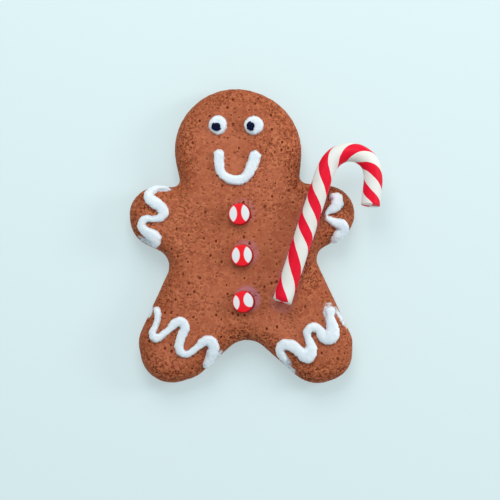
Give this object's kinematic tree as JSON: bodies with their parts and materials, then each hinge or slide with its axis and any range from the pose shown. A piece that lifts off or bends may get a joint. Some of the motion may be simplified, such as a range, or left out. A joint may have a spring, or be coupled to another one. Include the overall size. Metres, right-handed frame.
{
  "type": "gingerbread man biscuit ornament",
  "caption": "Gingerbread man shaped biscuit in modelling clay, lying on its back, with piped white trim, button slices, a simple face and a striped candy cane across one arm.",
  "frame": {"origin": "centre of the whole part's box, on the surface that the biscuit lies on", "axes": "+Y towards the head, +Z out of the decorated face, +X towards the candy cane"},
  "size_m": [0.0592, 0.0692, 0.0123],
  "materials": {
    "dough": "matte brown modelling clay with fine pinholes",
    "icing": "soft gloss white",
    "pupil": "soft gloss black",
    "button": "satin red and white modelling clay",
    "candy_cane": "satin twisted red and warm white modelling clay"
  },
  "bodies": {
    "root": {"cookie": "dough", "icing_left_arm": "icing", "icing_right_arm": "icing", "icing_left_leg": "icing", "icing_right_leg": "icing", "mouth": "icing", "eye_left": "icing", "eye_right": "icing", "pupil_left": "pupil", "pupil_right": "pupil", "button_upper": "button", "button_middle": "button", "button_lower": "button", "candy_cane": "candy_cane"}
  },
  "joints": []
}
